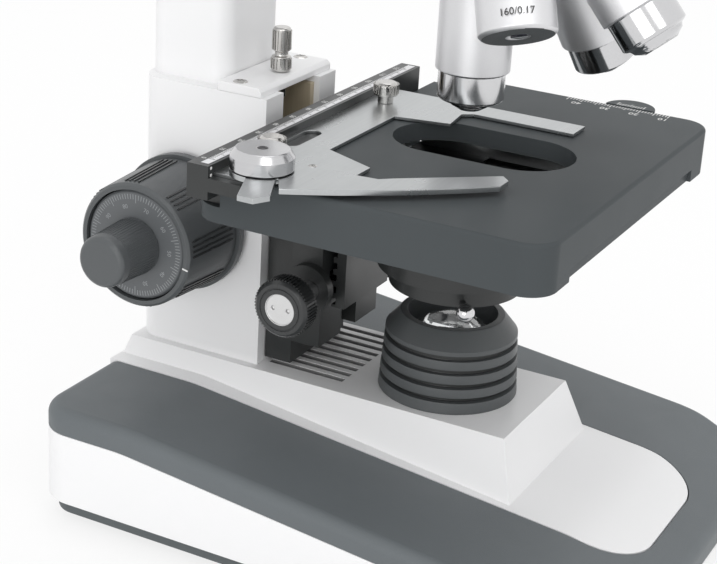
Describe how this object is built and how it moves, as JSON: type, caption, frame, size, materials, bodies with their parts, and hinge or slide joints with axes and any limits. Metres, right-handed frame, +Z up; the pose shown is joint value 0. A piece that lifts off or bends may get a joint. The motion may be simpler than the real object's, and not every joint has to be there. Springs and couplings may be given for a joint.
{
  "type": "upright microscope",
  "caption": "Upright microscope with a lit base, rack focusing, a mechanical stage with a slide clip, a condenser, a turret of objectives and an inclined eyepiece tube.",
  "frame": {"origin": "on the table under the middle of the overall box, which is the middle of the base", "axes": "+Z up along the optical axis, -Y to the front where the stage stands free, +X to the side of the coaxial stage knobs"},
  "size_m": [0.182, 0.1978, 0.3386],
  "materials": {
    "white_enamel": "satin paint",
    "grey_enamel": "fine textured paint",
    "foot_grey": "matte",
    "foot_rubber": "matte",
    "black_plastic": "satin",
    "board_green": "solder mask",
    "black_metal": "satin black",
    "stage_enamel": "satin textured paint",
    "clear_glass": "polished",
    "bronze": "machined",
    "steel": "brushed",
    "bright_chrome": "polished",
    "satin_aluminium": "satin"
  },
  "bodies": {
    "stand": {"base_casting": "white_enamel", "deck_cover": "grey_enamel", "bottom_plate": "foot_grey", "rubber_feet": "foot_rubber", "power_socket": "black_plastic", "switch_bezel": "black_plastic", "circuit_board": "board_green", "lamp_housing": "black_metal", "collector_lens": "clear_glass", "lamp_board": "board_green", "arm_casting": "white_enamel", "focus_cover_plate": "black_metal", "guide_strips": "bronze", "focus_bushes": "bronze", "nosepiece_mount": "black_metal", "head_collar": "black_metal"},
    "focus_stage": {"focus_carrier": "black_metal", "focus_rack": "steel", "stage_support": "stage_enamel", "stage_rails": "steel", "y_rack": "steel", "vernier_index": "stage_enamel"},
    "coarse_focus": {"coarse_tube": "steel", "coarse_knobs": "black_plastic"},
    "fine_focus": {"fine_shaft": "steel", "fine_dials": "satin_aluminium", "fine_knobs": "satin_aluminium"},
    "y_stage": {"stage_plate": "stage_enamel", "stage_guides": "bronze", "knob_bracket": "black_metal"},
    "y_drive": {"y_shaft": "steel", "y_knob": "black_plastic"},
    "x_drive": {"x_shaft": "steel", "x_knob": "black_plastic"},
    "slide_holder": {"x_bar": "black_metal", "holder_plate": "steel", "clip_pivot": "bright_chrome"},
    "slide_clip": {"clip_lever": "steel"},
    "left_screw": {"thumbscrew_left": "bright_chrome"},
    "right_screw": {"thumbscrew_right": "bright_chrome"},
    "condenser": {"condenser_carrier": "black_metal", "condenser_barrel": "black_metal", "condenser_lens": "clear_glass"},
    "iris": {"iris_ring": "black_metal"},
    "condenser_drive": {"condenser_shaft": "steel", "condenser_knob": "black_plastic"},
    "nosepiece": {"turret": "satin_aluminium", "objective_high": "satin_aluminium", "objective_oil": "satin_aluminium", "objective_low": "satin_aluminium", "objective_scanning": "satin_aluminium"},
    "head": {"head_housing": "white_enamel", "head_prism": "clear_glass", "eyepiece_tube": "bright_chrome", "eyepiece": "black_plastic", "eye_lens": "clear_glass"},
    "head_clamp": {"head_clamp_screw": "bright_chrome"},
    "focus_stop": {"stop_screw": "bright_chrome"},
    "mains_switch": {"switch_rocker": "black_plastic"},
    "brightness": {"brightness_knob": "black_plastic"}
  },
  "joints": [
    {"name": "focus_slide", "type": "slide", "parent": "stand", "child": "focus_stage", "axis": [0, 0, 1], "range_m": [-0.0012, 0.009]},
    {"name": "coarse_turn", "type": "hinge", "parent": "stand", "child": "coarse_focus", "pos_m": [0, 0.0765, 0.0911], "axis": [1, 0, 0], "range_deg": [-82, 14]},
    {"name": "fine_turn", "type": "hinge", "parent": "stand", "child": "fine_focus", "pos_m": [0, 0.0765, 0.0911], "axis": [1, 0, 0], "continuous": true},
    {"name": "stage_y", "type": "slide", "parent": "focus_stage", "child": "y_stage", "axis": [0, 1, 0], "range_m": [-0.018, 0.002]},
    {"name": "y_knob_turn", "type": "hinge", "parent": "y_stage", "child": "y_drive", "pos_m": [0.034, 0.0288, 0.09], "axis": [0, 0, 1], "range_deg": [-172, 22]},
    {"name": "stage_x", "type": "slide", "parent": "y_stage", "child": "slide_holder", "axis": [1, 0, 0], "range_m": [-0.02, 0.032]},
    {"name": "x_knob_turn", "type": "hinge", "parent": "y_stage", "child": "x_drive", "pos_m": [0.034, 0.0288, 0.075], "axis": [0, 0, 1], "range_deg": [-306, 194]},
    {"name": "clip_swing", "type": "hinge", "parent": "slide_holder", "child": "slide_clip", "pos_m": [-0.0678, 0.0231, 0.1304], "axis": [0, 0, 1], "range_deg": [-35, 0], "stiffness_Nm_per_rad": 0.02, "springref_deg": 8.59},
    {"name": "left_screw_turn", "type": "hinge", "parent": "slide_holder", "child": "left_screw", "pos_m": [-0.0533, 0.0286, 0.134], "axis": [0, 0, 1], "continuous": true},
    {"name": "right_screw_turn", "type": "hinge", "parent": "slide_holder", "child": "right_screw", "pos_m": [0.0185, 0.0286, 0.134], "axis": [0, 0, 1], "continuous": true},
    {"name": "condenser_slide", "type": "slide", "parent": "focus_stage", "child": "condenser", "axis": [0, 0, 1], "range_m": [-0.007, 0.002]},
    {"name": "condenser_knob_turn", "type": "hinge", "parent": "focus_stage", "child": "condenser_drive", "pos_m": [-0.03, 0.0303, 0.0773], "axis": [1, 0, 0], "range_deg": [-38, 124]},
    {"name": "iris_turn", "type": "hinge", "parent": "condenser", "child": "iris", "pos_m": [0, -0.0089, 0.0847], "axis": [0, 0, 1], "range_deg": [-35, 35]},
    {"name": "turret_turn", "type": "hinge", "parent": "stand", "child": "nosepiece", "pos_m": [0, -0.0089, 0.23621], "axis": [0, -0.342, -0.9397], "continuous": true},
    {"name": "head_turn", "type": "hinge", "parent": "stand", "child": "head", "pos_m": [0, -0.0089, 0.23921], "axis": [0, 0, 1], "continuous": true},
    {"name": "head_clamp_turn", "type": "hinge", "parent": "stand", "child": "head_clamp", "pos_m": [0.028, -0.0089, 0.23571], "axis": [1, 0, 0], "continuous": true},
    {"name": "stop_screw_turn", "type": "hinge", "parent": "stand", "child": "focus_stop", "pos_m": [0, 0.0571, 0.145], "axis": [0, 0, 1], "continuous": true},
    {"name": "switch_tip", "type": "hinge", "parent": "stand", "child": "mains_switch", "pos_m": [-0.032, 0.0949, 0.02], "axis": [1, 0, 0], "range_deg": [-8, 8]},
    {"name": "brightness_turn", "type": "hinge", "parent": "stand", "child": "brightness", "pos_m": [0.08, 0.0411, 0.02], "axis": [1, 0, 0], "range_deg": [-135, 135]}
  ],
  "couplings": [
    {"joint": "coarse_turn", "follows": "focus_slide", "rad_per_m": -151.5},
    {"joint": "y_knob_turn", "follows": "stage_y", "rad_per_m": 162.6},
    {"joint": "x_knob_turn", "follows": "stage_x", "rad_per_m": -162.6},
    {"joint": "condenser_knob_turn", "follows": "condenser_slide", "rad_per_m": -294}
  ]
}
